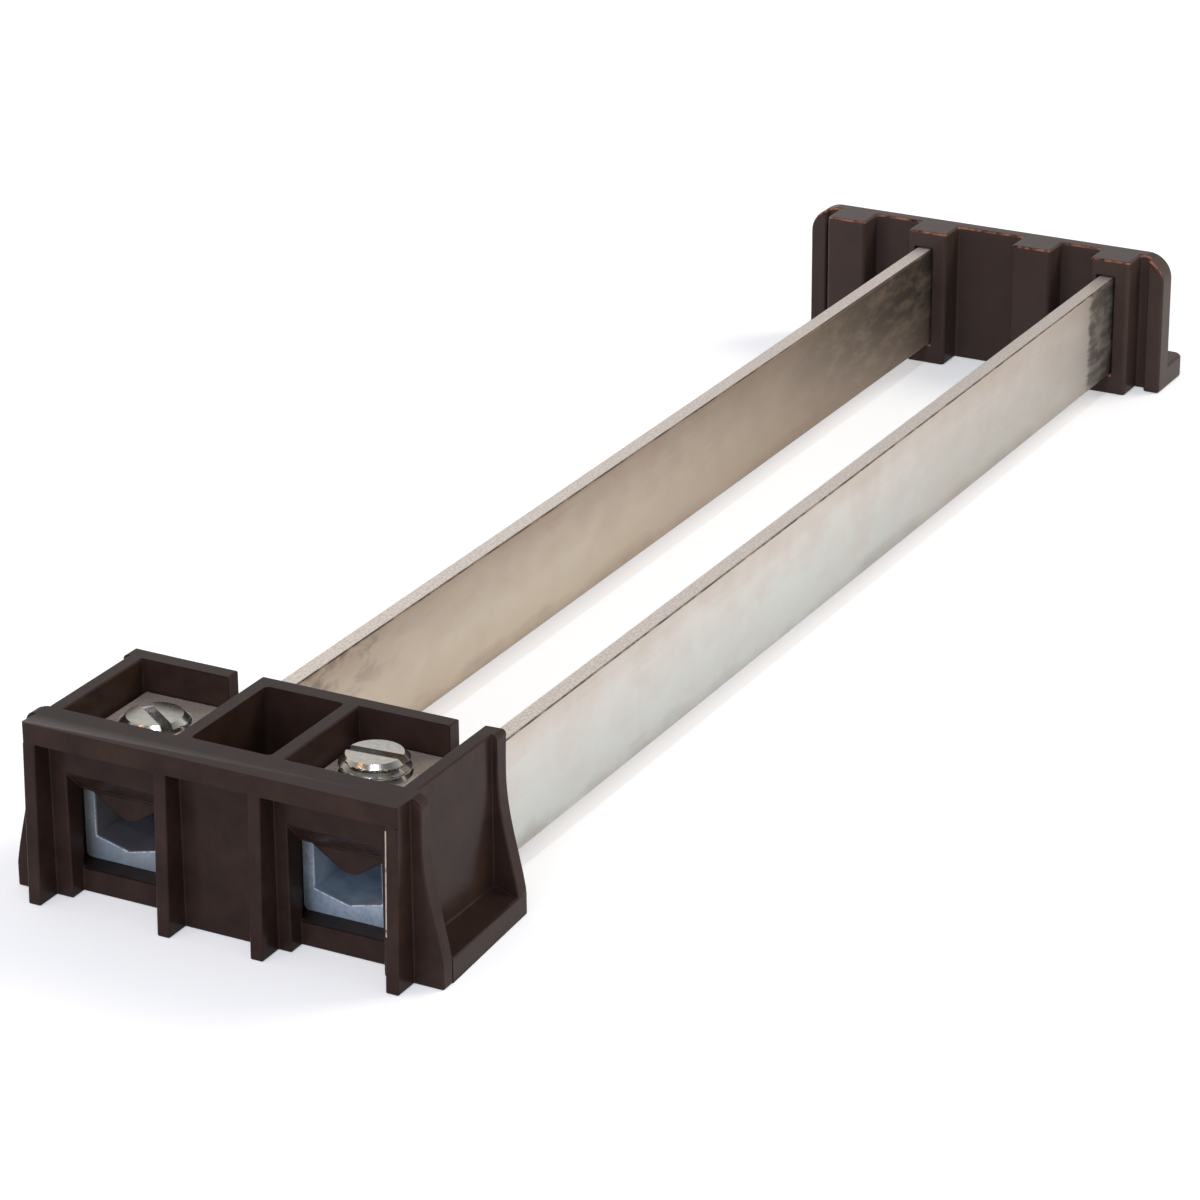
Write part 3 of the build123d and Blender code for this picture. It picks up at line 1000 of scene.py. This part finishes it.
# The chamfers at 45 degrees.
top_rim = add(tree, "ShaderNodeMath", {0: given["Radius"], 1: given["Top chamfer"]}, operation="SUBTRACT")
point_rim = add(tree, "ShaderNodeMath", {0: given["Radius"], 1: given["Point chamfer"]}, operation="SUBTRACT")
top_radius = add(tree, "ShaderNodeMath", {0: top_rim.outputs[0], 1: below_top.outputs[0]}, operation="ADD")
point_radius = add(
    tree, "ShaderNodeMath", {0: point_rim.outputs[0], 1: above_point.outputs[0]}, operation="ADD"
)
ends_radius = add(
    tree, "ShaderNodeMath", {0: top_radius.outputs[0], 1: point_radius.outputs[0]}, operation="MINIMUM"
)
surface_radius = add(
    tree, "ShaderNodeMath", {0: thread_radius.outputs[0], 1: ends_radius.outputs[0]}, operation="MINIMUM"
)
# The sheet wrapped round the axis, with its top at the origin.
cosine = add(tree, "ShaderNodeMath", {0: spot["X"]}, operation="COSINE")
sine = add(tree, "ShaderNodeMath", {0: spot["X"]}, operation="SINE")
out_x = add(
    tree, "ShaderNodeMath", {0: surface_radius.outputs[0], 1: cosine.outputs[0]}, operation="MULTIPLY"
)
out_y = add(tree, "ShaderNodeMath", {0: surface_radius.outputs[0], 1: sine.outputs[0]}, operation="MULTIPLY")
down = add(tree, "ShaderNodeMath", {0: below_top.outputs[0], 1: -1.0}, operation="MULTIPLY")
wrapped = add(tree, "ShaderNodeCombineXYZ", {0: out_x.outputs[0], 1: out_y.outputs[0], 2: down.outputs[0]})
thread = add(
    tree, "GeometryNodeSetPosition", {"Geometry": sheet.outputs["Mesh"], "Position": wrapped.outputs[0]}
)
# The discs, each facing out.
ends = []
for rim, drop, flip in ((top_rim, 0.0, 0.0), (point_rim, -1.0, math.pi)):
    disc = add(
        tree, "GeometryNodeMeshCircle", {"Vertices": steps_round, "Radius": rim.outputs[0]}, fill_type="NGON"
    )
    level_there = add(tree, "ShaderNodeMath", {0: given["Length"], 1: drop}, operation="MULTIPLY")
    level_at = add(tree, "ShaderNodeCombineXYZ", {2: level_there.outputs[0]})
    placed = add(
        tree,
        "GeometryNodeTransform",
        {"Geometry": disc.outputs["Mesh"], "Translation": level_at.outputs[0], "Rotation": (flip, 0.0, 0.0)},
    )
    ends.append(placed.outputs[0])
closed = add(tree, "GeometryNodeJoinGeometry")
for part in (thread.outputs[0], *ends):
    tree.links.new(part, closed.inputs[0])
sealed = add(tree, "GeometryNodeMergeByDistance", {"Geometry": closed.outputs[0], "Distance": same_rim_point})
# The slot, then the lift to the screw's place.
cutter = add(tree, "GeometryNodeMeshCube", {"Size": given["Slot size"]})
cutter_turn = add(tree, "ShaderNodeCombineXYZ", {2: given["Slot angle"]})
turned = add(
    tree, "GeometryNodeTransform", {"Geometry": cutter.outputs["Mesh"], "Rotation": cutter_turn.outputs[0]}
)
slotted = add(
    tree,
    "GeometryNodeMeshBoolean",
    {"Mesh 1": sealed.outputs[0], "Mesh 2": turned.outputs[0]},
    operation="DIFFERENCE",
    solver="EXACT",
)
lifted = add(
    tree, "GeometryNodeTransform", {"Geometry": slotted.outputs[0], "Translation": given["Top centre"]}
)
whole = add(tree, "GeometryNodeRealizeInstances", {0: lifted.outputs[0]})
finished = add(tree, "GeometryNodeSetMaterial", {"Geometry": whole.outputs[0], "Material": plated})
add(tree, "NodeGroupOutput", {0: finished.outputs[0]})

for side, slot_angle in slot_angles.items():
    low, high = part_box(f"clamp_screw_{side}")
    holder = bpy.data.objects.new(f"screw_{side}_tree", bpy.data.meshes.new(f"screw_{side}_tree"))
    scene.collection.objects.link(holder)
    grown = holder.modifiers.new("threaded_screw", "NODES")
    grown.node_group = screw_tree
    values = {
        "Radius": (high.x - low.x) / 2,
        "Length": high.z - low.z,
        "Pitch": thread_pitch,
        "Thread depth": thread_depth,
        "Top chamfer": screw_chamfer,
        "Point chamfer": point_chamfer,
        "Slot size": (2 * (high.x - low.x), slot_width, 2 * slot_depth),
        "Slot angle": slot_angle,
        "Top centre": ((low.x + high.x) / 2, (low.y + high.y) / 2, high.z),
    }
    for socket in screw_tree.interface.items_tree:
        if socket.in_out == "INPUT":
            grown[socket.identifier] = values[socket.name]
    graph = bpy.context.evaluated_depsgraph_get()
    screw_mesh = bpy.data.meshes.new_from_object(holder.evaluated_get(graph), depsgraph=graph)
    bpy.data.objects.remove(holder)
    screw_mesh.polygons.foreach_set("use_smooth", [True] * len(screw_mesh.polygons))
    screw_mesh.set_sharp_from_angle(angle=crest_angle)
    screw = bpy.data.objects.new(f"screw_{side}_threaded", screw_mesh)
    scene.collection.objects.link(screw)
    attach(screw, f"{side}_screw")
    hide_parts(f"clamp_screw_{side}")
